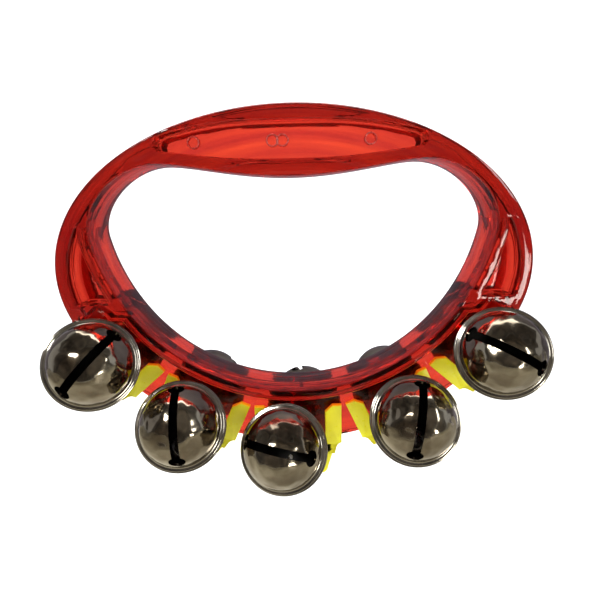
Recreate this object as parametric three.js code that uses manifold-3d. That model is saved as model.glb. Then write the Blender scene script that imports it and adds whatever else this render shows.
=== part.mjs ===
// Hand-held sleigh bells: a clear red D-shaped frame, five yellow clips on its lower arc, and a pair of
// jingle bells hooked on each clip's bar, one in front of the frame and one behind it.
// Millimetres, +Z up, the front faces -Y. The origin is the middle of the grip.
import * as THREE from "three";
import { mergeVertices } from "three/addons/utils/BufferGeometryUtils.js";
import Module from "manifold-3d";

const wasm = await Module();
wasm.setup();

// Frame
const FRAME_DEPTH = 16;
const EDGE_ROUND = 0.4;
const RING_Z = -13.5; // centre of the round lower arc
const OPENING_R = 57;
const FLANGE = 3.2; // wall round the hand opening
const OUTER_WALL = 3.8; // wall along the outside of each arm
const OUTLINE_A = 66.2; // half width and half height of the outer ellipse
const OUTLINE_B = 43.8;
const OUTLINE_Z = -35;
const GRIP_BELLY = -9.6; // lowest point of the grip
const NECK_X = 36; // where the grip is thinnest
const NECK_Z = -5.8;
const SHOULDER_ANGLE = 78; // where the round arc gives way to the upper corner, in degrees from the bottom
const ARM_END_Z = -48; // height of the outer corner of the arm's lower end
const ARM_END_ANGLE = 54.5; // ring angle at which the end meets the flange
const ARM_POCKET_Z = -43.3; // bottom of the arm pockets
const PANEL = 2.2; // thin panel between the pockets

// Pockets of the grip
const BOAT_X = 35.4;
const BOAT_TOP = 4.7;
const BOAT_BOTTOM = -5.1;
const BOAT_TIP = 1.7;
const BOAT_TIP_Z = -0.7;

// Web that carries the clips
const WEB_R = 75.5;
const WEB_T = 4;
const WEB_HALF_ANGLE = 61.5;
const NOTCH_HALF = 3.4;
const NOTCH_R = 72.6;
const STUD_R = 1.2;
const STUD_RADIUS = 67.5; // distance of the studs from the ring's centre
const GAP = 0.3;
const END_ROOM = 4.7; // half depth of the room in the arm ends for the first and last clips

// Clips
const STATION_STEP = 24.6; const ARM_IN = 8.2;
const ARM_OUT = 13.2;
const ARM_START = 63.6;
const ARM_CHAMFER = 2.2;
const ARM_T = 2;
const BASE_R = 75.9;
const BASE_T = 2.6;
const WAIST = 11.4;
const WAIST_R = 78.4;
const TIP_HALF = 9.2;
const TIP_R = 88;
const TIP_ROUND = 2.4;
const BAR_R = 79; // distance of the bar from the ring's centre
const BAR_RADIUS = 1.4;
const WINDOW_HALF = 5.5;
const WINDOW_END = 84.4;
const SHOULDER_END = 79.6; // where the arms' shoulders stop on the base

// Bells
const BELL_R = 12; // outside of the half that holds the loop
const BELL_WALL = 0.8;
const DOME_R = 10.8; // outside of the slotted half
const DOME_WALL = 0.7;
const DOME_FORWARD = 0.8; // the dome's centre stands this far in front of the seam
const BASE_RIM_R = 12.5;
const BASE_RIM_T = 0.85;
const DOME_RIM_R = 12.1;
const DOME_RIM_T = 0.55;
const SEAM = 0.3;
const SLOT_W = 2.2;
const HOLE_R = 2.2;
const HOLE_POLAR = 61; // degrees from the bell's axis to each end hole
const LOOP_REACH = 19; // from the bar to the centre of the bell
const WIRE_R = 0.6;
const LOOP_HALF = 2.8;
const LEG_END = 8.6;
const LEG_HOLE_R = 0.95;
const LOOP_SIDE = 1.1; // each loop sits this far to one side of the clip's middle
const NOD = 27; // the bells lean this far in towards the grip, until they rest near the flange
const END_NOD = 15; // the end bells of the back row lean in less
const PELLET_R = 3.2;
const PELLET_DROP = DOME_R - DOME_WALL - PELLET_R - 0.4;

// How each bell leans along the arc and how far its slot is turned, in degrees,
// from the left bell to the right.
const FRONT_BELLS = [
  { side: -1, lean: -4, spin: 96 },
  { side: -1, lean: -7, spin: 115 },
  { side: -1, lean: -10, spin: -14 },
  { side: 1, lean: 7, spin: 57 },
  { side: 1, lean: 6, spin: -75 },
];
const BACK_BELLS = [
  { side: -1, lean: 5, spin: 20, nod: END_NOD },
  { side: -1, lean: 7, spin: -50 },
  { side: -1, lean: -3, spin: 75 },
  { side: 1, lean: -7, spin: 5 },
  { side: 1, lean: -5, spin: 130, nod: END_NOD },
];

const BELL_SEGMENTS = 14;
const RED = { color: 0xb3120c, roughness: 0.12, metalness: 0, transparent: true, opacity: 0.85 };
const YELLOW = { color: 0xd9cf1a, roughness: 0.35, metalness: 0 };
const NICKEL = { color: 0x8d8878, roughness: 0.14, metalness: 1 };
const WIRE = { color: 0x9a978e, roughness: 0.3, metalness: 1 };
const STEEL = { color: 0x7d7a74, roughness: 0.25, metalness: 1 };

const rad = THREE.MathUtils.degToRad;

// Solids ---------------------------------------------------------------------------------------------------

function solid(geometry) {
  const bare = geometry.clone();
  bare.deleteAttribute("normal");
  bare.deleteAttribute("uv");
  const merged = mergeVertices(bare, 1e-4);
  const vertProperties = new Float32Array(merged.attributes.position.array);
  const triVerts = new Uint32Array(merged.index.array);
  return new wasm.Manifold(new wasm.Mesh({ numProp: 3, vertProperties, triVerts }));
}

function geometryOf(body) {
  const mesh = body.getMesh();
  const geometry = new THREE.BufferGeometry();
  geometry.setAttribute("position", new THREE.BufferAttribute(new Float32Array(mesh.vertProperties), 3));
  geometry.setIndex(new THREE.BufferAttribute(new Uint32Array(mesh.triVerts), 1));
  geometry.computeVertexNormals();
  return geometry;
}

function named(name, geometry, finish) {
  const mesh = new THREE.Mesh(geometry, new THREE.MeshStandardMaterial(finish));
  mesh.name = name;
  return mesh;
}

// The same outline as straight runs, without doubled points.
function polyline(PathType, path, segments) {
  const points = path.getPoints(segments);
  const kept = points.filter((point, i) => point.distanceTo(points.at(i - 1)) > 0.02);
  return new PathType(kept);
}

// A shape drawn in x and z, made into a plate from y = from to y = to.
function plate(shape, from, to, segments = 12, bevel = 0) {
  const outline = polyline(THREE.Shape, shape, segments);
  outline.holes = (shape.holes ?? []).map((hole) => polyline(THREE.Path, hole, segments));
  const geometry = new THREE.ExtrudeGeometry(outline, {
    depth: to - from - 2 * bevel,
    bevelEnabled: bevel > 0,
    bevelThickness: bevel,
    bevelSize: bevel,
    bevelOffset: -bevel,
    bevelSegments: 1,
  });
  geometry.rotateX(Math.PI / 2);
  geometry.translate(0, to - bevel, 0);
  return geometry;
}

function box(x0, x1, y0, y1, z0, z1) {
  const geometry = new THREE.BoxGeometry(x1 - x0, y1 - y0, z1 - z0);
  geometry.translate((x0 + x1) / 2, (y0 + y1) / 2, (z0 + z1) / 2);
  return geometry;
}

// Outlines -------------------------------------------------------------------------------------------------

// A point of the ring: the angle is measured from straight down, positive towards +X.
function ringPoint(angle, radius) {
  return new THREE.Vector2(radius * Math.sin(rad(angle)), RING_Z - radius * Math.cos(rad(angle)));
}

// Angle for absarc, whose zero points along +X.
function arcAngle(angle) {
  return rad(angle - 90);
}

// The D-shaped hand opening, grown outwards by a margin.
function openingPath(PathType, grow) {
  const path = new PathType();
  const radius = OPENING_R + grow;
  const right = ringPoint(SHOULDER_ANGLE, radius);
  const belly = GRIP_BELLY + grow;
  const neck = NECK_Z + grow;
  const pull = radius * 0.15;
  path.moveTo(-right.x, right.y);
  path.absarc(0, RING_Z, radius, arcAngle(-SHOULDER_ANGLE), arcAngle(SHOULDER_ANGLE), false);
  path.bezierCurveTo(right.x + pull * 0.2, right.y + pull, NECK_X + 11, neck, NECK_X, neck);
  path.bezierCurveTo(NECK_X - 7, neck, 16, belly, 0, belly);
  path.bezierCurveTo(-16, belly, 7 - NECK_X, neck, -NECK_X, neck);
  path.bezierCurveTo(-NECK_X - 11, neck, -right.x - pull * 0.2, right.y + pull, -right.x, right.y);
  return path;
}

// Angle on the outer ellipse at a given height, on the right-hand side.
function outlineAngle(z) {
  return Math.asin((z - OUTLINE_Z) / OUTLINE_B);
}

function frameShape() {
  const shape = new THREE.Shape();
  const start = outlineAngle(ARM_END_Z);
  const corner = OUTLINE_A * Math.cos(start);
  const foot = ringPoint(ARM_END_ANGLE, OPENING_R + FLANGE);
  shape.absellipse(0, OUTLINE_Z, OUTLINE_A, OUTLINE_B, start, Math.PI - start, false, 0);
  shape.quadraticCurveTo(-foot.x - 7, foot.y + 0.6, -foot.x, foot.y);
  shape.absarc(0, RING_Z, OPENING_R + FLANGE, arcAngle(-ARM_END_ANGLE), arcAngle(ARM_END_ANGLE), false);
  shape.quadraticCurveTo(foot.x + 7, foot.y + 0.6, corner, ARM_END_Z);
  shape.holes.push(openingPath(THREE.Path, 0));
  return shape;
}

// Boat-shaped pocket in the grip, blunt at both tips.
function boatShape() {
  const shape = new THREE.Shape();
  shape.moveTo(-BOAT_X, BOAT_TIP_Z - BOAT_TIP);
  shape.bezierCurveTo(-18, BOAT_BOTTOM + 0.3, -12, BOAT_BOTTOM, 0, BOAT_BOTTOM);
  shape.bezierCurveTo(12, BOAT_BOTTOM, 18, BOAT_BOTTOM + 0.3, BOAT_X, BOAT_TIP_Z - BOAT_TIP);
  shape.quadraticCurveTo(BOAT_X + 1.6, BOAT_TIP_Z, BOAT_X, BOAT_TIP_Z + BOAT_TIP);
  shape.bezierCurveTo(22, BOAT_TOP, 12, BOAT_TOP, 0, BOAT_TOP);
  shape.bezierCurveTo(-12, BOAT_TOP, -22, BOAT_TOP, -BOAT_X, BOAT_TIP_Z + BOAT_TIP);
  shape.quadraticCurveTo(-BOAT_X - 1.6, BOAT_TIP_Z, -BOAT_X, BOAT_TIP_Z - BOAT_TIP);
  return shape;
}

// Region of the right arm that its pocket may take: below the neck, above the arm's end.
function armShape() {
  const shape = new THREE.Shape();
  const start = outlineAngle(ARM_POCKET_Z);
  const top = Math.PI * 0.27;
  shape.moveTo(45, ARM_POCKET_Z);
  shape.absellipse(0, OUTLINE_Z, OUTLINE_A - OUTER_WALL, OUTLINE_B - OUTER_WALL, start, top, false, 0);
  shape.lineTo(38, -8);
  return shape;
}

function frameSolid() {
  const half = FRAME_DEPTH / 2;
  const panel = PANEL / 2;
  let body = solid(plate(frameShape(), -half, half, 18, EDGE_ROUND));
  for (const end of [-2, 2]) {
    body = body.subtract(endRoom(end));
  }
  const web = new THREE.Shape();
  web.absarc(0, RING_Z, WEB_R, arcAngle(-WEB_HALF_ANGLE), arcAngle(WEB_HALF_ANGLE), false);
  web.absarc(0, RING_Z, OPENING_R + FLANGE / 2, arcAngle(WEB_HALF_ANGLE), arcAngle(-WEB_HALF_ANGLE), true);
  body = body.add(solid(plate(web, -WEB_T / 2, WEB_T / 2, 24)));
  const wall = solid(plate(openingPath(THREE.Shape, FLANGE), -half - 1, half + 1, 18));
  for (const side of [-1, 1]) {
    const from = side < 0 ? -half - 1 : panel;
    const to = side < 0 ? -panel : half + 1;
    body = body.subtract(solid(plate(boatShape(), from, to, 10)));
    const pocket = solid(plate(armShape(), from, to, 16)).subtract(wall);
    body = body.subtract(pocket).subtract(pocket.mirror([1, 0, 0]));
  }
  for (let i = 0; i < 5; i++) {
    const turn = STATION_STEP * (i - 2);
    body = body.subtract(stationCut(turn));
  }
  return body;
}

// Room for the arms of the clip nearest one of the frame's own arms.
function endRoom(end) {
  const toward = Math.sign(end);
  const inner = toward * (ARM_IN - 0.7);
  const outer = toward * (ARM_OUT + 1);
  const low = Math.min(inner, outer);
  const high = Math.max(inner, outer);
  const room = box(low, high, -END_ROOM, END_ROOM, -WEB_R - 4, GAP - ARM_START);
  return solid(room).rotate([0, -end * STATION_STEP, 0]).translate([0, 0, RING_Z]);
}

// Notch for the loops and two stud holes, cut in the web at one clip.
function stationCut(angle) {
  const notch = box(-NOTCH_HALF, NOTCH_HALF, -WEB_T, WEB_T, -WEB_R - 2, -NOTCH_R);
  let cut = solid(notch);
  for (const side of [-1, 1]) {
    cut = cut.add(solid(studGeometry(side, STUD_R + GAP, WEB_T * 2, 0)));
  }
  return cut.rotate([0, -angle, 0]).translate([0, 0, RING_Z]);
}

function studGeometry(side, radius, length, y) {
  const stud = new THREE.CylinderGeometry(radius, radius, length, 12);
  stud.translate((side * (ARM_IN + ARM_OUT)) / 2, y, -STUD_RADIUS);
  return stud;
}

// Clip -----------------------------------------------------------------------------------------------------

// Outline of one arm, from its inner end to the shoulder. It is drawn for the +X side.
function clipArmShape() {
  const shape = new THREE.Shape();
  shape.moveTo(ARM_OUT, -ARM_START);
  shape.lineTo(ARM_OUT, -BASE_R);
  shape.quadraticCurveTo(WAIST + 0.3, -BASE_R - 0.3, WAIST, -WAIST_R);
  shape.lineTo(WAIST - 0.3, -SHOULDER_END);
  shape.lineTo(ARM_IN, -SHOULDER_END);
  shape.lineTo(ARM_IN, -ARM_START - ARM_CHAMFER);
  shape.lineTo(ARM_IN + ARM_CHAMFER, -ARM_START);
  return shape;
}

// The base: a plate with a slot that is open towards the web; the bar crosses the slot.
function clipBaseShape() {
  const shape = new THREE.Shape();
  shape.moveTo(ARM_OUT, -BASE_R);
  shape.quadraticCurveTo(WAIST + 0.3, -BASE_R - 0.3, WAIST, -WAIST_R);
  shape.lineTo(TIP_HALF, TIP_ROUND - TIP_R);
  shape.quadraticCurveTo(TIP_HALF - 0.5, -TIP_R, TIP_HALF - TIP_ROUND, -TIP_R);
  shape.lineTo(TIP_ROUND - TIP_HALF, -TIP_R);
  shape.quadraticCurveTo(0.5 - TIP_HALF, -TIP_R, -TIP_HALF, TIP_ROUND - TIP_R);
  shape.lineTo(-WAIST, -WAIST_R);
  shape.quadraticCurveTo(-WAIST - 0.3, -BASE_R - 0.3, -ARM_OUT, -BASE_R);
  shape.lineTo(-WINDOW_HALF, -BASE_R);
  shape.lineTo(-WINDOW_HALF, -WINDOW_END);
  shape.lineTo(WINDOW_HALF, -WINDOW_END);
  shape.lineTo(WINDOW_HALF, -BASE_R);
  return shape;
}

function clipGeometry() {
  const face = WEB_T / 2 + GAP;
  const front = -face - ARM_T;
  const arm = solid(plate(clipArmShape(), front, -face, 5));
  const below = solid(box(-20, 20, -9, 9, -95, -BASE_R));
  const shoulder = solid(plate(clipArmShape(), front, BASE_T / 2, 5)).intersect(below);
  const stud = solid(studGeometry(1, STUD_R, WEB_T + GAP, -GAP / 2));
  const side = arm.add(shoulder).add(stud);
  const base = solid(plate(clipBaseShape(), -BASE_T / 2, BASE_T / 2, 5));
  const bar = new THREE.CylinderGeometry(BAR_RADIUS, BAR_RADIUS, 2 * WINDOW_HALF + 2, 16);
  bar.rotateZ(Math.PI / 2);
  bar.translate(0, 0, -BAR_R);
  return geometryOf(base.add(solid(bar)).add(side).add(side.mirror([1, 0, 0])));
}

// Bell -----------------------------------------------------------------------------------------------------

// Points of a circular arc about (0, forward) in the profile plane, from one polar angle to another.
function meridian(radius, from, to, count, forward = 0) {
  const points = [];
  for (let i = 0; i <= count; i++) {
    const polar = rad(from + ((to - from) * i) / count);
    const across = radius * Math.sin(polar);
    points.push(new THREE.Vector2(Math.abs(across) < 1e-6 ? 0 : across, forward + radius * Math.cos(polar)));
  }
  return points;
}

// Polar angle, in degrees, at which a sphere of that radius reaches a height.
function polarAt(height, radius) {
  return THREE.MathUtils.radToDeg(Math.acos(height / radius));
}

// A turned half shell from its inner wall, round its rim, to its outer wall; its pole is on +Y.
function turned(inner, rimRadius, rimThickness, outer) {
  const low = SEAM / 2;
  const rim = [new THREE.Vector2(rimRadius, low), new THREE.Vector2(rimRadius, low + rimThickness)];
  return new THREE.LatheGeometry([...inner, ...rim, ...outer], BELL_SEGMENTS);
}

// The slotted half. The slot runs along x through the pole, with a round hole at each end.
function domeGeometry() {
  const low = SEAM / 2;
  const innerR = DOME_R - DOME_WALL;
  const inner = [...meridian(innerR, 0, 90, 4, DOME_FORWARD), new THREE.Vector2(innerR, low)];
  const outer = [new THREE.Vector2(DOME_R, low + DOME_RIM_T), ...meridian(DOME_R, 90, 0, 5, DOME_FORWARD)];
  let body = solid(turned(inner, DOME_RIM_R, DOME_RIM_T, outer));
  const reach = DOME_R * Math.sin(rad(HOLE_POLAR));
  const depth = DOME_FORWARD + DOME_R * Math.cos(rad(HOLE_POLAR));
  body = body.subtract(solid(box(-reach, reach, depth, BELL_R + 2, -SLOT_W / 2, SLOT_W / 2)));
  for (const side of [-1, 1]) {
    const hole = new THREE.CylinderGeometry(HOLE_R, HOLE_R, 5, 8);
    hole.translate(0, DOME_R, 0);
    hole.rotateZ(-side * rad(HOLE_POLAR));
    hole.translate(0, DOME_FORWARD, 0);
    body = body.subtract(solid(hole));
  }
  return geometryOf(body);
}

// The half that holds the wire loop, with a hole for each of its legs.
function baseGeometry() {
  const innerR = BELL_R - BELL_WALL;
  const inner = meridian(innerR, 0, polarAt(SEAM / 2, innerR), 4);
  const outer = meridian(BELL_R, polarAt(SEAM / 2 + BASE_RIM_T, BELL_R), 0, 5);
  let body = solid(turned(inner, BASE_RIM_R, BASE_RIM_T, outer));
  for (const side of [-1, 1]) {
    const hole = new THREE.CylinderGeometry(LEG_HOLE_R, LEG_HOLE_R, 6, 8);
    hole.translate(0, BELL_R, side * LOOP_HALF);
    body = body.subtract(solid(hole));
  }
  return geometryOf(body);
}

// A wire bent over the bar, which runs along x through the origin; its legs point to -Y.
function loopGeometry() {
  const path = new THREE.CurvePath();
  const top = new THREE.Vector3(0, 0, LOOP_HALF);
  const bottom = new THREE.Vector3(0, 0, -LOOP_HALF);
  const swell = LOOP_HALF * (4 / 3);
  const bend = new THREE.CubicBezierCurve3(
    top,
    new THREE.Vector3(0, swell, LOOP_HALF),
    new THREE.Vector3(0, swell, -LOOP_HALF),
    bottom,
  );
  path.add(new THREE.LineCurve3(new THREE.Vector3(0, -LEG_END, LOOP_HALF), top));
  path.add(bend);
  path.add(new THREE.LineCurve3(bottom, new THREE.Vector3(0, -LEG_END, -LOOP_HALF)));
  const section = new THREE.Shape();
  section.absarc(0, 0, WIRE_R, 0, 2 * Math.PI, false);
  return new THREE.ExtrudeGeometry(section, { steps: 14, curveSegments: 3, extrudePath: path });
}

const shared = {
  dome: domeGeometry(),
  base: baseGeometry(),
  loop: loopGeometry(),
  pellet: new THREE.IcosahedronGeometry(PELLET_R, 1),
  clip: clipGeometry(),
};

// A bell hooked on the bar at the group's origin, its dome towards -Y.
function bell(name, spin) {
  const group = new THREE.Group();
  const dome = named(name + "_dome", shared.dome, NICKEL);
  dome.position.set(0, -LOOP_REACH, 0);
  dome.rotation.set(Math.PI, rad(spin), 0, "XYZ");
  const base = named(name + "_base", shared.base, NICKEL);
  base.position.set(0, -LOOP_REACH, 0);
  const loop = named(name + "_loop", shared.loop, WIRE);
  group.add(dome, base, loop);
  return group;
}

const root = new THREE.Group();
root.add(named("frame", geometryOf(frameSolid()), RED));

for (let i = 0; i < 5; i++) {
  const angle = STATION_STEP * (i - 2);
  const station = new THREE.Group();
  station.position.set(0, 0, RING_Z);
  station.rotation.set(0, -rad(angle), 0);
  station.add(named("bell_clip_" + (i + 1), shared.clip, YELLOW));
  for (const row of ["front", "back"]) {
    const { side, lean, spin, nod = NOD } = (row === "front" ? FRONT_BELLS : BACK_BELLS)[i];
    const name = row + "_bell_" + (i + 1);
    const face = new THREE.Group();
    face.rotation.z = row === "front" ? 0 : Math.PI;
    const hook = bell(name, spin);
    hook.position.set(side * LOOP_SIDE, 0, -BAR_R);
    hook.rotation.set(-rad(nod), 0, rad(lean), "XYZ");
    face.add(hook);
    station.add(face);
    // The loose pellet lies at the bottom of its bell.
    station.updateWorldMatrix(true, true);
    const centre = hook.localToWorld(new THREE.Vector3(0, -LOOP_REACH, 0));
    const pellet = named(name + "_pellet", shared.pellet, STEEL);
    pellet.position.copy(centre).add(new THREE.Vector3(0, 0, -PELLET_DROP));
    root.add(pellet);
  }
  root.add(station);
}

export default root;
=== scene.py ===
"""Hand-held sleigh bells with a clear red frame, yellow clips and nickel jingle bells.

Shapes are drawn in millimetres in the CAD frame (+X right, +Z up, front towards -Y) and stored in metres.
"""

import math

import bmesh
import bpy
from mathutils import Matrix, Vector

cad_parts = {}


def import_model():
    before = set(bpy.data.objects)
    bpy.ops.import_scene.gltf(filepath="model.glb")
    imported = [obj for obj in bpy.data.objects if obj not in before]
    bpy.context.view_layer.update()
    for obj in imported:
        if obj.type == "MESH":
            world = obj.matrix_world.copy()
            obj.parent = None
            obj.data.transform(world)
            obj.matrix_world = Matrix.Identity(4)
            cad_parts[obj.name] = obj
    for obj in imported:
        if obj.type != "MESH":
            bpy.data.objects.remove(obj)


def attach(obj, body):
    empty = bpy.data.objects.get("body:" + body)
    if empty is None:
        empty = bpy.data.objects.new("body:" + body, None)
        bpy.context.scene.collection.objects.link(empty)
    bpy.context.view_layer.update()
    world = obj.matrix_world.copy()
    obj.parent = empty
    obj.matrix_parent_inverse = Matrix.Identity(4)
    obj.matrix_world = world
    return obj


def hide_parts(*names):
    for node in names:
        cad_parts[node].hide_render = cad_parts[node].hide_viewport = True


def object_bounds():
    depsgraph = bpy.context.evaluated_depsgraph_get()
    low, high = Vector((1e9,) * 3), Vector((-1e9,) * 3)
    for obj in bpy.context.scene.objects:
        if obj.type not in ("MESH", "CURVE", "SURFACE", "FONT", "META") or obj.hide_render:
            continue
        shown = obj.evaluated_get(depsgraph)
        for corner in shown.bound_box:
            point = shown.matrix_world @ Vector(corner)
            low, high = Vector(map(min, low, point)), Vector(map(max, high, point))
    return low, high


MM = 0.001
NEAR = 0.05  # points of an outline closer than this are one point
PAST = 2  # how far a cut reaches past what it cuts

# Frame
FRAME_DEPTH = 16
EDGE_ROUND = 0.7
RING_Z = -13.5  # centre of the round lower arc
OPENING_R = 57
FLANGE = 3.2
OUTER_WALL = 3.8
OUTLINE_A = 66.2
OUTLINE_B = 43.8
OUTLINE_Z = -35
FLOW_R = 55  # mean radius of the frame, for the streaks along it
SHOULDER_ANGLE = 78  # the opening's round arc ends here, in degrees from straight down
NECK_X = 36  # where the opening's corner meets the grip
NECK_Z = -5.8
GRIP_BELLY = -9.6  # lowest line of the grip
ARM_END_Z = -48
ARM_END_ANGLE = 54.5
ARM_POCKET_Z = -43.3
ARM_POCKET_TOP = -12.5
PANEL = 2.2
PANEL_SEAT = 0.9  # how far the panels reach into the rim
PANEL_ROUND = 0.05
BOAT_X = 35.4  # the grip's boat-shaped pocket
BOAT_TOP = 4.7
BOAT_BOTTOM = -5.1
BOAT_TIP = 1.7
BOAT_TIP_Z = -0.7
MARK_R = 1.55
MARK_WIRE = 0.2
MARKS = [(-27, 0.2), (-5.2, 0.3), (-2.4, 0.3), (22, 0.2), (-57.4, -37), (57.4, -37)]

# Web and clips
WEB_R = 75.5
WEB_T = 4
WEB_ROUND = 0.4
WEB_HALF_ANGLE = 61.5
NOTCH_HALF = 3.4
NOTCH_R = 72.6
STUD_R = 1.2
STUD_RADIUS = 67.5
GAP = 0.3
END_ROOM = 4.7  # half the depth of the room for a clip in an arm's end
END_ROOM_SIDE = 0.7
STATION_STEP = 24.6
STATIONS = 5
ARM_IN = 8.2
ARM_OUT = 13.2
ARM_START = 63.6
ARM_CHAMFER = 2.2
ARM_T = 2
BASE_R = 75.9
BASE_T = 2.6
WAIST = 11.4
WAIST_R = 78.4
TIP_HALF = 9.2
TIP_R = 88
TIP_ROUND = 2.4
BAR_R = 79
BAR_RADIUS = 1.4
WINDOW_HALF = 5.5
WINDOW_END = 84.4
SHOULDER_END = 79.6
CLIP_ROUND = 0.35

# Bells
BELL_R = 12  # the half that holds the loop
BELL_WALL = 0.8
BASE_RIM_R = 12.5
DOME_R = 10.8  # the slotted half
DOME_WALL = 0.7
DOME_FORWARD = 0.8
DOME_RIM_R = 12.1
RIM_START = 11  # the rim, lighter for a painted highlight, outside this radius and below this height over the seam
RIM_HEIGHT = 1.5
SEAM = 0.3
FILLET = 0.7  # where the rim grows out of the shell
SLOT_W = 2.2
HOLE_R = 2.2
HOLE_POLAR = 61
LOOP_REACH = 19
WIRE_R = 0.6
LOOP_HALF = 2.8
LEG_END = 8.1
LEG_HOLE_R = 0.66
LEG_PIECES = 6
LOOP_SIDE = 1.1
NOD = 27  # lean of a bell towards the grip
END_NOD = 15  # the end bells of the back row lean in less
PELLET_R = 3.2
PELLET_DROP = DOME_R - DOME_WALL - PELLET_R - 0.4
BELL_STEPS = 72
SLOT_EDGE = 0.16

# Bells from left to right: side of the bar, lean along the arc, turn of the slot and lean towards the grip
FRONT_BELLS = [(-1, -4, 96, NOD), (-1, -7, 115, NOD), (-1, -10, -14, NOD), (1, 7, 57, NOD),
               (1, 6, -75, NOD)]
BACK_BELLS = [(-1, 5, 20, END_NOD), (-1, 7, -50, NOD), (-1, -3, 75, NOD), (1, -7, 5, NOD),
              (1, -5, 130, END_NOD)]

# Camera: its place, how far it looks down and how it is rolled
CAMERA_AT = (1.4, -136.7, -16)
CAMERA_PITCH = 12
CAMERA_ROLL = -1.4
CAMERA_LENS = 28.2

# Floor with a back wall, in metres
FLOOR_DROP = 0.12  # below the object
FLOOR_FRONT = -1.6
FLOOR_HALF = 1.8
WALL_Y = 0.75
WALL_TOP = 1.4
WALL_BEND = 0.25

# Cards that only reflections see, in metres: lowest and highest corner, dark and light colour
CARDS = {
    "card_behind": ((-1.2, 0.22, -0.3), (1.2, 0.222, 0.7), (0.12, 0.105, 0.125), (0.24, 0.21, 0.25)),
    "card_before": ((-2.5, -0.62, -0.21), (2.5, -0.618, 1.5), (0.006, 0.004, 0.003), (0.16, 0.13, 0.10)),
    "card_below": ((-2.5, -0.6, -0.215), (2.5, 0.2, -0.213), (0.11, 0.085, 0.05), (0.50, 0.47, 0.37)),
    "card_above": ((-2.5, -0.6, 1.5), (2.5, 0.2, 1.502), (0.02, 0.016, 0.014), (0.20, 0.18, 0.16)),
}


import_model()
CAD_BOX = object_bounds()


# Outlines, as lists of (x, z) in millimetres ---------------------------------------------------------------


def arc(centre_z, radius_x, radius_z, start, end, steps):
    """Points of an ellipse about (0, centre_z); angles in radians from +X."""
    angles = [start + (end - start) * i / steps for i in range(steps + 1)]
    return [(radius_x * math.cos(a), centre_z + radius_z * math.sin(a)) for a in angles]


def ring_arc(radius, start, end, steps):
    """An arc of the ring, its angles in degrees from straight down."""
    return arc(RING_Z, radius, radius, math.radians(start - 90), math.radians(end - 90), steps)


def ring_point(angle, radius):
    """A point of the ring, its angle in degrees from straight down."""
    a = math.radians(angle)
    return (radius * math.sin(a), RING_Z - radius * math.cos(a))


def bezier(p0, p1, p2, p3, steps):
    """A curve with two control points, p1 and p2."""
    points = []
    for i in range(steps + 1):
        t = i / steps
        w = ((1 - t) ** 3, 3 * t * (1 - t) ** 2, 3 * t * t * (1 - t), t**3)
        points.append(tuple(w[0] * a + w[1] * b + w[2] * c + w[3] * d for a, b, c, d in zip(p0, p1, p2, p3)))
    return points


def quadratic(p0, control, p1, steps):
    """A curve with one control point."""
    c0 = tuple(a + (c - a) * 2 / 3 for a, c in zip(p0, control))
    c1 = tuple(b + (c - b) * 2 / 3 for b, c in zip(p1, control))
    return bezier(p0, c0, c1, p1, steps)


def mirrored(points):
    """The points on the other side of x = 0, in the opposite order."""
    return [(-x, z) for x, z in reversed(points)]


def joined(*runs):
    """The runs end to end, without doubled points."""
    points = []
    for point in (p for run in runs for p in run):
        if not points or math.dist(point, points[-1]) > NEAR:
            points.append(point)
    while math.dist(points[0], points[-1]) < NEAR:
        points.pop()
    return points


def opening_outline(grow=0.0):
    """The hand opening: the ring's arc, two shoulders and the underside of the grip."""
    radius = OPENING_R + grow
    right = ring_point(SHOULDER_ANGLE, radius)
    neck = (NECK_X, NECK_Z + grow)
    belly = (0, GRIP_BELLY + grow)
    pull = radius * 0.15
    corner = bezier(right, (right[0] + pull * 0.2, right[1] + pull), (NECK_X + 11, neck[1]), neck, 22)
    under = bezier(neck, (NECK_X - 7, neck[1]), (16, belly[1]), belly, 24)
    return joined(ring_arc(radius, -SHOULDER_ANGLE, SHOULDER_ANGLE, 110), corner, under,
                  mirrored(under), mirrored(corner))


def outline_angle(z):
    """Where the frame's outer ellipse is at height z."""
    return math.asin((z - OUTLINE_Z) / OUTLINE_B)


def frame_outline():
    """The frame's outside: the ellipse down to the arms' ends, then the flange's outer arc."""
    start = outline_angle(ARM_END_Z)
    corner = (OUTLINE_A * math.cos(start), ARM_END_Z)
    foot = ring_point(ARM_END_ANGLE, OPENING_R + FLANGE)
    end = quadratic(foot, (foot[0] + 7, foot[1] + 0.6), corner, 14)
    return joined(arc(OUTLINE_Z, OUTLINE_A, OUTLINE_B, start, math.pi - start, 150), mirrored(end),
                  ring_arc(OPENING_R + FLANGE, -ARM_END_ANGLE, ARM_END_ANGLE, 90), end)


def boat_outline(grow=0.0):
    """The pocket in the grip."""
    low = (BOAT_X, BOAT_TIP_Z - BOAT_TIP)
    high = (BOAT_X, BOAT_TIP_Z + BOAT_TIP)
    bottom = BOAT_BOTTOM - grow
    top = BOAT_TOP + grow
    under = bezier((0, bottom), (12, bottom), (18, bottom + 0.3), (low[0], low[1] - grow), 24)
    nose = (BOAT_X + 1.6 + 2 * grow, BOAT_TIP_Z)
    tip = quadratic((low[0], low[1] - grow), nose, (high[0], high[1] + grow), 10)
    over = bezier((high[0], high[1] + grow), (22, top), (12, top), (0, top), 24)
    return joined(under, tip, over, mirrored(over), mirrored(tip), mirrored(under))


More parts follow.
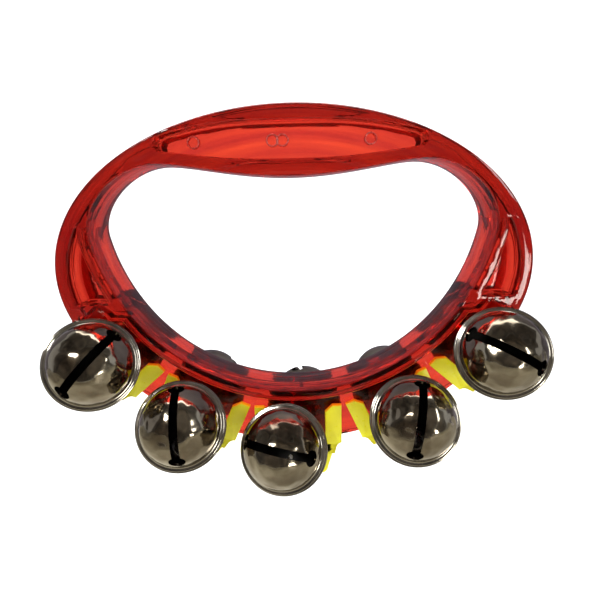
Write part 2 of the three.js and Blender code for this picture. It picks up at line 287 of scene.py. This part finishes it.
def arm_outline(grow=0.0):
    """Pocket of the right arm: between the flange and the outer wall, down to the arm's end."""
    inner = [p for p in opening_outline(FLANGE - grow) if p[0] > 0]
    outer_a = OUTLINE_A - OUTER_WALL + grow
    outer_b = OUTLINE_B - OUTER_WALL + grow
    floor_z = ARM_POCKET_Z - grow
    wall = [p for p in inner if floor_z < p[1] < ARM_POCKET_TOP]
    outer = [(outer_a * math.cos(a), OUTLINE_Z + outer_b * math.sin(a))
             for a in [math.radians(i * 0.75 - 12) for i in range(80)]]
    outer = [p for p in outer if floor_z + 0.3 < p[1] and clear_of(p, wall)]
    wall = [p for p in wall if inside_ellipse(p, outer_a, outer_b)]
    end = [(wall[0][0], floor_z), (outer[0][0], floor_z)]
    return joined(end, outer, list(reversed(wall)))


def inside_ellipse(point, a, b):
    """Whether a point is well inside the frame's ellipse with half axes a and b."""
    return (point[0] / a) ** 2 + ((point[1] - OUTLINE_Z) / b) ** 2 < 1 - 0.4 / a


def clear_of(point, wall):
    """Whether the nearest point of the wall lies on the inner side of this one."""
    near = min(wall, key=lambda p: math.dist(p, point))
    return math.hypot(point[0], point[1] - RING_Z) > math.hypot(near[0], near[1] - RING_Z) + 0.2


def web_outline():
    """The web below the flange, with its inner edge halfway into the flange."""
    inner = ring_arc(OPENING_R + FLANGE / 2, -WEB_HALF_ANGLE, WEB_HALF_ANGLE, 80)
    return joined(ring_arc(WEB_R, -WEB_HALF_ANGLE, WEB_HALF_ANGLE, 110), list(reversed(inner)))


# Meshes ----------------------------------------------------------------------------------------------------


def object_of(name, mesh):
    piece = bpy.data.objects.new(name, mesh)
    bpy.context.scene.collection.objects.link(piece)
    return piece


def baked(piece):
    """The piece as a plain mesh, with its modifiers applied."""
    graph = bpy.context.evaluated_depsgraph_get()
    mesh = bpy.data.meshes.new_from_object(piece.evaluated_get(graph))
    bpy.data.objects.remove(piece)
    shape = bmesh.new()
    shape.from_mesh(mesh)
    bmesh.ops.remove_doubles(shape, verts=shape.verts, dist=1e-3)
    bmesh.ops.recalc_face_normals(shape, faces=shape.faces)
    shape.to_mesh(mesh)
    shape.free()
    return mesh


def plate(loops, low_y, high_y, rounding):
    """A flat plate between two depths with rounded edges; loops after the first are holes."""
    half = (high_y - low_y) / 2
    curve = bpy.data.curves.new("plate", "CURVE")
    curve.dimensions = "2D"
    curve.fill_mode = "BOTH"
    curve.extrude = half - rounding
    curve.bevel_depth = rounding
    curve.bevel_resolution = 2
    curve.offset = -rounding
    for index, loop in enumerate(loops):
        path = counter_clockwise(loop) if index == 0 else list(reversed(counter_clockwise(loop)))
        spline = curve.splines.new("POLY")
        spline.points.add(len(path) - 1)
        for point, (x, z) in zip(spline.points, path):
            point.co = (x, z, 0, 1)
        spline.use_cyclic_u = True
    mesh = baked(object_of("plate", curve))
    mesh.transform(Matrix.Translation((0, (low_y + high_y) / 2, 0)) @ Matrix.Rotation(math.pi / 2, 4, "X"))
    return mesh


def counter_clockwise(loop):
    """The loop in counter-clockwise order."""
    area = sum(a[0] * b[1] - b[0] * a[1] for a, b in zip(loop, loop[1:] + loop[:1]))
    return loop if area > 0 else list(reversed(loop))


def combined(mesh, others, operation):
    """The mesh with the others joined to it or cut from it."""
    piece = object_of("body", mesh)
    helpers = [object_of("helper", other) for other in others]
    for helper in helpers:
        modifier = piece.modifiers.new("boolean", "BOOLEAN")
        modifier.operation = operation
        modifier.solver = "EXACT"
        modifier.object = helper
    result = baked(piece)
    for helper in helpers:
        bpy.data.objects.remove(helper)
    return result


def box(low, high):
    shape = bmesh.new()
    size = [b - a for a, b in zip(low, high)]
    centre = [(a + b) / 2 for a, b in zip(low, high)]
    bmesh.ops.create_cube(shape, size=1, matrix=Matrix.LocRotScale(centre, None, size))
    return mesh_of(shape)


def rod(radius, depth, place, steps=32):
    """A cylinder along its own z, put in place by a matrix."""
    shape = bmesh.new()
    bmesh.ops.create_cone(shape, cap_ends=True, segments=steps, radius1=radius, radius2=radius, depth=depth,
                          matrix=place)
    return mesh_of(shape)


def mesh_of(shape):
    """A mesh of the bmesh, which is freed."""
    mesh = bpy.data.meshes.new("shape")
    shape.to_mesh(mesh)
    shape.free()
    return mesh


def revolved(profile, steps):
    """A closed profile of (radius, y) turned about y; its first and last points lie on the axis."""
    shape = bmesh.new()
    rows = []
    for radius, y in profile:
        count = steps if radius > 0 else 1
        turns = [2 * math.pi * i / steps for i in range(count)]
        rows.append([shape.verts.new((radius * math.cos(t), y, radius * math.sin(t))) for t in turns])
    for upper, lower in zip(rows, rows[1:]):
        for i in range(steps):
            j = (i + 1) % steps
            corners = [row[k % len(row)] for row, k in ((upper, i), (upper, j), (lower, j), (lower, i))]
            face = list(dict.fromkeys(corners))
            if len(face) > 2:
                shape.faces.new(face)
    bmesh.ops.recalc_face_normals(shape, faces=shape.faces)
    return mesh_of(shape)


def tube(points, radius, sides=14):
    """A round wire along points that lie in the plane x = 0."""
    shape = bmesh.new()
    rings = []
    for i, point in enumerate(points):
        before = points[max(i - 1, 0)]
        after = points[min(i + 1, len(points) - 1)]
        along = (Vector(after) - Vector(before)).normalized()
        across = along.cross(Vector((1, 0, 0)))
        spokes = [math.cos(t) * Vector((1, 0, 0)) + math.sin(t) * across
                  for t in (2 * math.pi * k / sides for k in range(sides))]
        rings.append([shape.verts.new(Vector(point) + radius * spoke) for spoke in spokes])
    for a, b in zip(rings, rings[1:]):
        for k in range(sides):
            n = (k + 1) % sides
            shape.faces.new((a[k], a[n], b[n], b[k]))
    shape.faces.new(rings[0])
    shape.faces.new(rings[-1])
    bmesh.ops.recalc_face_normals(shape, faces=shape.faces)
    return mesh_of(shape)


def finished(mesh, name, crease, *materials):
    """Names the mesh, turns it to metres, smooths it below an angle and gives it its materials."""
    mesh.name = name
    mesh.transform(Matrix.Scale(MM, 4))
    mesh.shade_smooth()
    mesh.set_sharp_from_angle(angle=math.radians(crease))
    for material in materials:
        mesh.materials.append(material)
    return mesh


def softened(mesh, width, angle=35, steps=2):
    """The mesh with its edges sharper than an angle bevelled."""
    piece = object_of("soft", mesh)
    modifier = piece.modifiers.new("bevel", "BEVEL")
    modifier.width = width
    modifier.segments = steps
    modifier.limit_method = "ANGLE"
    modifier.angle_limit = math.radians(angle)
    modifier.use_clamp_overlap = True
    return baked(piece)


# Materials -------------------------------------------------------------------------------------------------


def material(name, **values):
    made = bpy.data.materials.new(name)
    made.use_nodes = True
    shader = made.node_tree.nodes["Principled BSDF"]
    for key, value in values.items():
        shader.inputs[key.replace("_", " ")].default_value = value
    return made, made.node_tree, shader


def noise(tree, scale, detail=4.0, stretch=(1, 1, 1)):
    """Noise over the piece's own metres; scale is the number of lumps in a metre."""
    where = tree.nodes.new("ShaderNodeTexCoord")
    mapping = tree.nodes.new("ShaderNodeMapping")
    mapping.inputs["Scale"].default_value = stretch
    texture = tree.nodes.new("ShaderNodeTexNoise")
    texture.inputs["Scale"].default_value = scale
    texture.inputs["Detail"].default_value = detail
    tree.links.new(where.outputs["Object"], mapping.inputs["Vector"])
    tree.links.new(mapping.outputs["Vector"], texture.inputs["Vector"])
    return texture.outputs["Fac"]


def flow(tree, across, along, detail=3.0):
    """Noise drawn out along the curve of the frame, in lumps to the metre across it and along it."""
    where = tree.nodes.new("ShaderNodeTexCoord")
    rounded = tree.nodes.new("ShaderNodeMapping")
    rounded.inputs["Scale"].default_value = (FLOW_R / OUTLINE_A, 1, FLOW_R / OUTLINE_B)
    rounded.inputs["Location"].default_value = (0, 0, -OUTLINE_Z * MM * FLOW_R / OUTLINE_B)
    flat = tree.nodes.new("ShaderNodeVectorMath")
    flat.operation = "MULTIPLY"
    flat.inputs[1].default_value = (1, 0, 1)
    radius = tree.nodes.new("ShaderNodeVectorMath")
    radius.operation = "LENGTH"
    parts = tree.nodes.new("ShaderNodeSeparateXYZ")
    side = tree.nodes.new("ShaderNodeMath")
    side.operation = "ABSOLUTE"
    angle = tree.nodes.new("ShaderNodeMath")
    angle.operation = "ARCTAN2"
    route = tree.nodes.new("ShaderNodeCombineXYZ")
    scaled = tree.nodes.new("ShaderNodeMapping")
    scaled.inputs["Scale"].default_value = (across, across, along * FLOW_R * MM)
    texture = tree.nodes.new("ShaderNodeTexNoise")
    texture.inputs["Scale"].default_value = 1
    texture.inputs["Detail"].default_value = detail
    for source, target in ((where.outputs["Object"], rounded.inputs["Vector"]),
                           (rounded.outputs["Vector"], flat.inputs[0]),
                           (flat.outputs["Vector"], radius.inputs[0]),
                           (rounded.outputs["Vector"], parts.inputs["Vector"]),
                           (parts.outputs["X"], side.inputs[0]),
                           (side.outputs["Value"], angle.inputs[0]),
                           (parts.outputs["Z"], angle.inputs[1]),
                           (radius.outputs["Value"], route.inputs["X"]),
                           (parts.outputs["Y"], route.inputs["Y"]),
                           (angle.outputs["Value"], route.inputs["Z"]),
                           (route.outputs["Vector"], scaled.inputs["Vector"]),
                           (scaled.outputs["Vector"], texture.inputs["Vector"])):
        tree.links.new(source, target)
    return texture.outputs["Fac"]


def spread(tree, factor, low, high, target):
    """Feeds a socket with noise spread between two values."""
    span = tree.nodes.new("ShaderNodeMapRange")
    span.inputs["From Min"].default_value = 0.3
    span.inputs["From Max"].default_value = 0.7
    span.inputs["To Min"].default_value = low
    span.inputs["To Max"].default_value = high
    tree.links.new(factor, span.inputs["Value"])
    tree.links.new(span.outputs["Result"], target)


def tinted(tree, shader, factor, dark, light):
    """Spreads the base colour between two colours by noise."""
    ramp = tree.nodes.new("ShaderNodeValToRGB")
    for element, place, colour in zip(ramp.color_ramp.elements, (0.3, 0.7), (dark, light)):
        element.position = place
        element.color = (*colour, 1)
    tree.links.new(factor, ramp.inputs["Fac"])
    tree.links.new(ramp.outputs["Color"], shader.inputs["Base Color"])


def bumped(tree, shader, factor, strength, distance):
    bump = tree.nodes.new("ShaderNodeBump")
    bump.inputs["Strength"].default_value = strength
    bump.inputs["Distance"].default_value = distance
    tree.links.new(factor, bump.inputs["Height"])
    tree.links.new(bump.outputs["Normal"], shader.inputs["Normal"])


def clear_red():
    """Clear plastic that lets tinted light through to what stands behind it."""
    made, tree, shader = material("clear_red_plastic", IOR=1.44, Transmission_Weight=1.0)
    tinted(tree, shader, flow(tree, 420, 22), (0.38, 0.020, 0.018), (0.62, 0.054, 0.022))
    depth = tree.nodes.new("ShaderNodeVolumeAbsorption")
    depth.inputs["Color"].default_value = (0.60, 0.15, 0.15, 1)
    depth.inputs["Density"].default_value = 130
    tree.links.new(depth.outputs["Volume"], tree.nodes["Material Output"].inputs["Volume"])
    spread(tree, noise(tree, 700, 5), 0.02, 0.09, shader.inputs["Roughness"])
    bumped(tree, shader, flow(tree, 330, 18, 2), 0.5, 0.0006)
    rays = tree.nodes.new("ShaderNodeLightPath")
    through = tree.nodes.new("ShaderNodeBsdfTransparent")
    through.inputs["Color"].default_value = (0.80, 0.30, 0.25, 1)
    mixed = tree.nodes.new("ShaderNodeMixShader")
    tree.links.new(rays.outputs["Is Shadow Ray"], mixed.inputs["Fac"])
    tree.links.new(shader.outputs["BSDF"], mixed.inputs[1])
    tree.links.new(through.outputs["BSDF"], mixed.inputs[2])
    tree.links.new(mixed.outputs["Shader"], tree.nodes["Material Output"].inputs["Surface"])
    return made


def frosted_red():
    """The rubbed rings that the ejector pins leave; their pale pink colour is a painted highlight."""
    made, tree, shader = material("frosted_red_painted_highlight", IOR=1.44, Transmission_Weight=0.7)
    tinted(tree, shader, noise(tree, 500, 3), (0.72, 0.15, 0.11), (0.95, 0.42, 0.36))
    spread(tree, noise(tree, 900, 4), 0.15, 0.35, shader.inputs["Roughness"])
    return made


def yellow_plastic():
    made, tree, shader = material("yellow_plastic", IOR=1.5, Subsurface_Weight=0.15)
    shader.inputs["Subsurface Radius"].default_value = (0.002, 0.0015, 0.0004)
    tinted(tree, shader, noise(tree, 220, 4), (0.82, 0.75, 0.012), (0.93, 0.88, 0.02))
    spread(tree, noise(tree, 900, 4), 0.25, 0.42, shader.inputs["Roughness"])
    bumped(tree, shader, noise(tree, 1500, 3), 0.15, 0.0001)
    return made


def nickel(name, dark, light, dents):
    """Nickel plating over thin sheet with shallow dents; its colour is mottled by noise between a dark and a
    light tone, painted light: reflections on the bells, a highlight on their rims.
    """
    made, tree, shader = material(name, Metallic=1.0)
    tinted(tree, shader, noise(tree, 110, 5), dark, light)
    spread(tree, noise(tree, 420, 6), 0.07, 0.2, shader.inputs["Roughness"])
    bumped(tree, shader, noise(tree, 95, 2), dents, 0.0022)
    return made


def bell_inside_painted_shade():
    """The dull inside of a bell, coloured near black: painted shade in the hollow."""
    made, tree, shader = material("bell_inside_painted_shade", Metallic=0.6)
    tinted(tree, shader, noise(tree, 300, 4), (0.012, 0.011, 0.010), (0.035, 0.032, 0.028))
    spread(tree, noise(tree, 500, 4), 0.45, 0.7, shader.inputs["Roughness"])
    return made


def steel(name, dark, light, low, high):
    made, tree, shader = material(name, Metallic=1.0)
    tinted(tree, shader, noise(tree, 380, 5), dark, light)
    spread(tree, noise(tree, 900, 4), low, high, shader.inputs["Roughness"])
    bumped(tree, shader, noise(tree, 1200, 3), 0.2, 0.00008)
    return made


def paper():
    """The floor's matt white."""
    made, tree, shader = material("pale_floor")
    tinted(tree, shader, noise(tree, 6, 3), (0.90, 0.90, 0.90), (0.93, 0.93, 0.93))
    spread(tree, noise(tree, 50, 4), 0.7, 0.85, shader.inputs["Roughness"])
    return made


RED = clear_red()
MARK = frosted_red()
YELLOW = yellow_plastic()
# The bells' dark brown to olive mottle is painted reflection of dim surroundings.
NICKEL = nickel("bright_nickel", (0.19, 0.15, 0.105), (0.42, 0.375, 0.285), 1.0)
# The rims' lighter tone is a painted highlight: the bright line a rolled rim catches from the lamps.
RIM = nickel("rim_nickel_painted_highlight", (0.38, 0.35, 0.29), (0.58, 0.55, 0.48), 0.2)
INSIDE = bell_inside_painted_shade()
WIRE = steel("loop_wire", (0.42, 0.40, 0.36), (0.58, 0.56, 0.52), 0.18, 0.35)
STEEL = steel("pellet_steel", (0.30, 0.29, 0.27), (0.45, 0.43, 0.40), 0.2, 0.4)


# Frame -----------------------------------------------------------------------------------------------------


def station(index):
    """Matrix that takes a clip drawn straight below the origin to its place on the ring, in millimetres."""
    angle = math.radians(STATION_STEP * (index - 2))
    return Matrix.Translation((0, 0, RING_Z)) @ Matrix.Rotation(-angle, 4, "Y")


def stud_place(side, y):
    centre = (side * (ARM_IN + ARM_OUT) / 2, y, -STUD_RADIUS)
    return Matrix.Translation(centre) @ Matrix.Rotation(math.pi / 2, 4, "X")


def placed(mesh, matrix):
    copy = mesh.copy()
    copy.transform(matrix)
    return copy


def frame_mesh():
    """The moulded frame: the rim, the panels in its pockets and the web."""
    half = FRAME_DEPTH / 2
    arm = arm_outline()
    loops = [frame_outline(), opening_outline(), boat_outline(), arm, mirrored(arm)]
    rim = plate(loops, -half, half, EDGE_ROUND)
    seated = arm_outline(PANEL_SEAT)
    panels = [plate([outline], -PANEL / 2, PANEL / 2, PANEL_ROUND)
              for outline in (boat_outline(PANEL_SEAT), seated, mirrored(seated))]
    web = plate([web_outline()], -WEB_T / 2, WEB_T / 2, WEB_ROUND)
    notch = box((-NOTCH_HALF, -WEB_T, -WEB_R - PAST), (NOTCH_HALF, WEB_T, -NOTCH_R))
    cuts = []
    for index in range(STATIONS):
        cuts.append(placed(notch, station(index)))
        for side in (-1, 1):
            cuts.append(placed(rod(STUD_R + GAP, WEB_T * 2, stud_place(side, 0)), station(index)))
    web = combined(web, cuts, "DIFFERENCE")
    rooms = [placed(end_room(end), station(end + 2)) for end in (-2, 2)]
    rim = combined(rim, rooms, "DIFFERENCE")
    return combined(rim, panels + [web], "UNION")


def end_room(end):
    """Room in an arm's end for the arms of the nearest clip."""
    inner = ARM_IN - END_ROOM_SIDE
    outer = ARM_OUT + 1
    across = sorted((math.copysign(inner, end), math.copysign(outer, end)))
    return box((across[0], -END_ROOM, -WEB_R - 2 * PAST), (across[1], END_ROOM, GAP - ARM_START))


def mark_mesh():
    """The rings that the mould's ejector pins leave on the panels."""
    shape = bmesh.new()
    for x, z in MARKS:
        for side in (-1, 1):
            add_torus(shape, Vector((x, side * PANEL / 2, z)), MARK_R, MARK_WIRE)
    return mesh_of(shape)


def add_torus(shape, centre, radius, wire, steps=28, sides=8):
    """A ring, half as high as its wire is wide."""
    rings = []
    for i in range(steps):
        t = 2 * math.pi * i / steps
        out = Vector((math.cos(t), 0, math.sin(t)))
        ring = []
        for k in range(sides):
            s = 2 * math.pi * k / sides
            off = out * (radius + wire * math.cos(s)) + Vector((0, wire / 2 * math.sin(s), 0))
            ring.append(shape.verts.new(centre + off))
        rings.append(ring)
    for i in range(steps):
        a, b = rings[i], rings[(i + 1) % steps]
        for k in range(sides):
            n = (k + 1) % sides
            shape.faces.new((a[k], b[k], b[n], a[n]))


# Clips -----------------------------------------------------------------------------------------------------


def waist():
    """The concave side of a clip, from the arms' foot to the narrowest place."""
    return quadratic((ARM_OUT, -BASE_R), (WAIST + 0.3, -BASE_R - 0.3), (WAIST, -WAIST_R), 6)


def clip_arm_outline():
    return joined([(ARM_OUT, -ARM_START)], waist(),
                  [(WAIST - 0.3, -SHOULDER_END), (ARM_IN, -SHOULDER_END), (ARM_IN, -ARM_START - ARM_CHAMFER),
                   (ARM_IN + ARM_CHAMFER, -ARM_START)])


def shoulder_outline():
    return joined(waist(), [(WAIST - 0.3, -SHOULDER_END), (ARM_IN, -SHOULDER_END), (ARM_IN, -BASE_R)])


def clip_base_outline():
    corner = (TIP_HALF - 0.3, -TIP_R)
    tip = quadratic((TIP_HALF, TIP_ROUND - TIP_R), corner, (TIP_HALF - TIP_ROUND, -TIP_R), 8)
    side = joined(waist(), tip)
    slot = [(WINDOW_HALF, -WINDOW_END), (WINDOW_HALF, -BASE_R)]
    return joined(side, mirrored(side), mirrored(slot), slot)


def clip_mesh():
    """A clip: its base with the slot and bar, two arms before the web and their studs."""
    face = WEB_T / 2 + GAP
    front = -face - ARM_T
    base = plate([clip_base_outline()], -BASE_T / 2, BASE_T / 2, CLIP_ROUND)
    along_x = Matrix.Translation((0, 0, -BAR_R)) @ Matrix.Rotation(math.pi / 2, 4, "Y")
    parts = [rod(BAR_RADIUS, 2 * WINDOW_HALF + PAST, along_x)]
    for side in (-1, 1):
        arm = clip_arm_outline() if side > 0 else mirrored(clip_arm_outline())
        block = shoulder_outline() if side > 0 else mirrored(shoulder_outline())
        parts.append(plate([arm], front, -face, CLIP_ROUND))
        parts.append(plate([block], front, BASE_T / 2, CLIP_ROUND))
        parts.append(rod(STUD_R, WEB_T + GAP, stud_place(side, -GAP / 2)))
    return combined(base, parts, "UNION")


# Bells -----------------------------------------------------------------------------------------------------


def meridian(radius, start, end, steps, forward=0.0):
    """Points of (radius, y) on an arc about (0, forward), from one polar angle to another in degrees."""
    points = []
    for i in range(steps + 1):
        polar = math.radians(start + (end - start) * i / steps)
        across = radius * math.sin(polar)
        points.append((0 if abs(across) < 1e-6 else across, forward + radius * math.cos(polar)))
    return points


def bead(rim, thick, root):
    """A rolled rim that starts at the seam, ends on the shell's outer wall and has the given thickness."""
    low = SEAM / 2
    r = min(thick / 2, 0.3)
    nose = [(rim - r + r * math.cos(a), low + r + r * math.sin(a)) for a in (-1.57, -0.9, -0.3)]
    back = [(rim - r + r * math.cos(a), low + thick - r + r * math.sin(a)) for a in (0.3, 0.9, 1.57)]
    fillet = [(root + FILLET * (1 - math.sin(a)), low + thick + FILLET * (1 - math.cos(a)))
              for a in (0.15, 0.45, 0.75, 1.05, 1.35)]
    return nose + back + fillet


def base_profile():
    inner = BELL_R - BELL_WALL
    low = SEAM / 2
    rim = bead(BASE_RIM_R, 0.85, BELL_R - 0.05)
    collar = [(BELL_R + 0.16, low + 1.25), (BELL_R + 0.2, low + 1.6), (BELL_R + 0.02, low + 1.85)]
    edge = math.degrees(math.acos((low + 2.1) / BELL_R))
    return (meridian(inner, 0, math.degrees(math.acos(low / inner)), 22) + rim + collar
            + meridian(BELL_R, edge, 0, 24))


def dome_profile():
    inner = DOME_R - DOME_WALL
    return (meridian(inner, 0, 90, 22, DOME_FORWARD) + [(inner, SEAM / 2)] + bead(DOME_RIM_R, 0.6, DOME_R)
            + meridian(DOME_R, 90, 0, 26, DOME_FORWARD))


def split_faces(mesh):
    """Gives the inner wall the second material and the rim the third."""
    for polygon in mesh.polygons:
        if polygon.normal.dot(polygon.center) < -0.3 * polygon.center.length:
            polygon.material_index = 1
        elif math.hypot(polygon.center.x, polygon.center.z) > RIM_START and polygon.center.y < RIM_HEIGHT:
            polygon.material_index = 2


def dome_mesh():
    """The slotted half: the slot runs along x through the pole, with a round hole at each end."""
    reach = DOME_R * math.sin(math.radians(HOLE_POLAR))
    depth = DOME_FORWARD + DOME_R * math.cos(math.radians(HOLE_POLAR))
    cuts = [box((-reach, depth - 0.3, -SLOT_W / 2), (reach, BELL_R + PAST, SLOT_W / 2))]
    forward = Matrix.Translation((0, DOME_FORWARD, 0))
    for side in (-1, 1):
        turn = Matrix.Rotation(-side * math.radians(HOLE_POLAR), 4, "Z")
        stand = Matrix.Translation((0, DOME_R, 0)) @ Matrix.Rotation(math.pi / 2, 4, "X")
        cuts.append(rod(HOLE_R, 5, forward @ turn @ stand, 28))
    shell = softened(combined(revolved(dome_profile(), BELL_STEPS), cuts, "DIFFERENCE"), SLOT_EDGE)
    split_faces(shell)
    return shell


def base_mesh():
    """The half that holds the loop, with a hole for each of the loop's legs."""
    stand = Matrix.Rotation(math.pi / 2, 4, "X")
    legs = [Matrix.Translation((0, BELL_R, side * LOOP_HALF)) for side in (-1, 1)]
    holes = [rod(LEG_HOLE_R, 6, leg @ stand, 16) for leg in legs]
    shell = combined(revolved(base_profile(), BELL_STEPS), holes, "DIFFERENCE")
    split_faces(shell)
    return shell


def loop_mesh():
    """The wire loop, bent round the clip's bar, with its two legs."""
    swell = LOOP_HALF * 4 / 3
    bend = bezier((0, LOOP_HALF), (swell, LOOP_HALF), (swell, -LOOP_HALF), (0, -LOOP_HALF), 22)
    leg = [(-LEG_END + LEG_END * i / LEG_PIECES, LOOP_HALF) for i in range(LEG_PIECES)]
    route = leg + bend + [(y, -z) for y, z in reversed(leg)]
    return tube([(0, y, z) for y, z in route], WIRE_R)


def pellet_mesh():
    return revolved(meridian(PELLET_R, 0, 180, 16), 28)


def show(mesh, name, matrix, node, body):
    """Puts a mesh in place; the matrix is in millimetres."""
    piece = object_of(name, mesh)
    place = matrix.copy()
    place.translation = place.translation * MM
    piece.matrix_world = place
    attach(piece, body)
    if node:
        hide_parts(node)
    return piece


BODY = "frame_and_clips"
STILL = Matrix.Identity(4)

show(finished(frame_mesh(), "frame_look", 28, RED), "frame_look", STILL, "frame", BODY)
show(finished(mark_mesh(), "frame_marks", 60, MARK), "frame_marks", STILL, None, BODY)

CLIP = finished(clip_mesh(), "clip_look", 28, YELLOW)
DOME = finished(dome_mesh(), "dome_look", 32, NICKEL, INSIDE, RIM)
BASE = finished(base_mesh(), "base_look", 32, NICKEL, INSIDE, RIM)
LOOP = finished(loop_mesh(), "loop_look", 50, WIRE)
PELLET = finished(pellet_mesh(), "pellet_look", 60, STEEL)

for index in range(STATIONS):
    number = index + 1
    show(CLIP, f"clip_look_{number}", station(index), f"bell_clip_{number}", BODY)
    for row, bells in (("front", FRONT_BELLS), ("back", BACK_BELLS)):
        side, lean, spin, nod = bells[index]
        name = f"{row}_bell_{number}"
        face = Matrix.Rotation(0 if row == "front" else math.pi, 4, "Z")
        hook = (station(index) @ face @ Matrix.Translation((side * LOOP_SIDE, 0, -BAR_R))
                @ Matrix.Rotation(-math.radians(nod), 4, "X") @ Matrix.Rotation(math.radians(lean), 4, "Z"))
        middle = hook @ Matrix.Translation((0, -LOOP_REACH, 0))
        dome = middle @ Matrix.Rotation(math.pi, 4, "X") @ Matrix.Rotation(math.radians(spin), 4, "Y")
        show(DOME, name + "_dome_look", dome, name + "_dome", name)
        show(BASE, name + "_base_look", middle, name + "_base", name)
        show(LOOP, name + "_loop_look", hook, name + "_loop", name)
        low = Matrix.Translation(middle.translation - Vector((0, 0, PELLET_DROP)))
        show(PELLET, name + "_pellet_look", low, name + "_pellet", name + "_rattle")


# Floor, light and camera -----------------------------------------------------------------------------------


def cyclorama():
    """A floor that curves up into a back wall."""
    floor_z = CAD_BOX[0][2] - FLOOR_DROP
    profile = [(FLOOR_FRONT, floor_z)]
    for i in range(17):
        a = math.pi / 2 * i / 16
        profile.append((WALL_Y - WALL_BEND * (1 - math.sin(a)), floor_z + WALL_BEND * (1 - math.cos(a))))
    profile.append((WALL_Y, WALL_TOP))
    shape = bmesh.new()
    rows = [[shape.verts.new((x, y, z)) for x in (-FLOOR_HALF, FLOOR_HALF)] for y, z in profile]
    for a, b in zip(rows, rows[1:]):
        shape.faces.new((a[0], a[1], b[1], b[0]))
    mesh = mesh_of(shape)
    mesh.shade_smooth()
    mesh.materials.append(paper())
    return object_of("pale_floor", mesh)


def reflected_card(name, low, high, dark, light):
    """A mottled card, like the far side of a room, that only reflections see."""
    made, tree, shader = material(name)
    tinted(tree, shader, noise(tree, 2.6, 3), dark, light)
    mesh = box(low, high)
    mesh.materials.append(made)
    card = object_of(name, mesh)
    card.visible_camera = False
    card.visible_transmission = False
    card.visible_diffuse = False
    card.visible_shadow = False
    return card


def area_light(name, place, size, power, colour=(1, 1, 1), aim=(0, 0, -0.05)):
    data = bpy.data.lights.new(name, "AREA")
    data.shape = "RECTANGLE"
    data.size, data.size_y = size
    data.energy = power
    data.color = colour
    light = bpy.data.objects.new(name, data)
    bpy.context.scene.collection.objects.link(light)
    light.visible_camera = False
    light.location = place
    light.rotation_euler = (Vector(aim) - Vector(place)).to_track_quat("-Z", "Y").to_euler()


def camera():
    data = bpy.data.cameras.new("photo_camera")
    data.sensor_width = 36
    data.lens = CAMERA_LENS
    data.clip_start = 0.005
    view = bpy.data.objects.new("photo_camera", data)
    bpy.context.scene.collection.objects.link(view)
    pitch = Matrix.Rotation(math.radians(90 - CAMERA_PITCH), 4, "X")
    roll = Matrix.Rotation(math.radians(CAMERA_ROLL), 4, "Z")
    view.matrix_world = Matrix.Translation(Vector(CAMERA_AT) * MM) @ pitch @ roll
    bpy.context.scene.camera = view


def world():
    sky = bpy.data.worlds.new("studio")
    sky.use_nodes = True
    background = sky.node_tree.nodes["Background"]
    background.inputs["Color"].default_value = (0.9, 0.93, 1.0, 1)
    background.inputs["Strength"].default_value = 0.6
    bpy.context.scene.world = sky


cyclorama()
for name, (low, high, dark, light) in CARDS.items():
    reflected_card(name, low, high, dark, light)
area_light("key", (-0.45, -0.5, 0.45), (0.22, 0.14), 2.1)
area_light("fill", (0.5, -0.45, 0.2), (0.1, 0.2), 0.6)
area_light("low", (0.28, -0.42, -0.12), (0.14, 0.09), 0.6, colour=(1, 0.97, 0.9))
area_light("top", (0.0, 0.3, 0.8), (1.0, 0.4), 5.5)
area_light("backdrop", (0.0, 0.3, 0.6), (1.4, 0.2), 7, aim=(0, 0.8, -0.05))
camera()
world()
bpy.context.scene.view_settings.view_transform = "Standard"
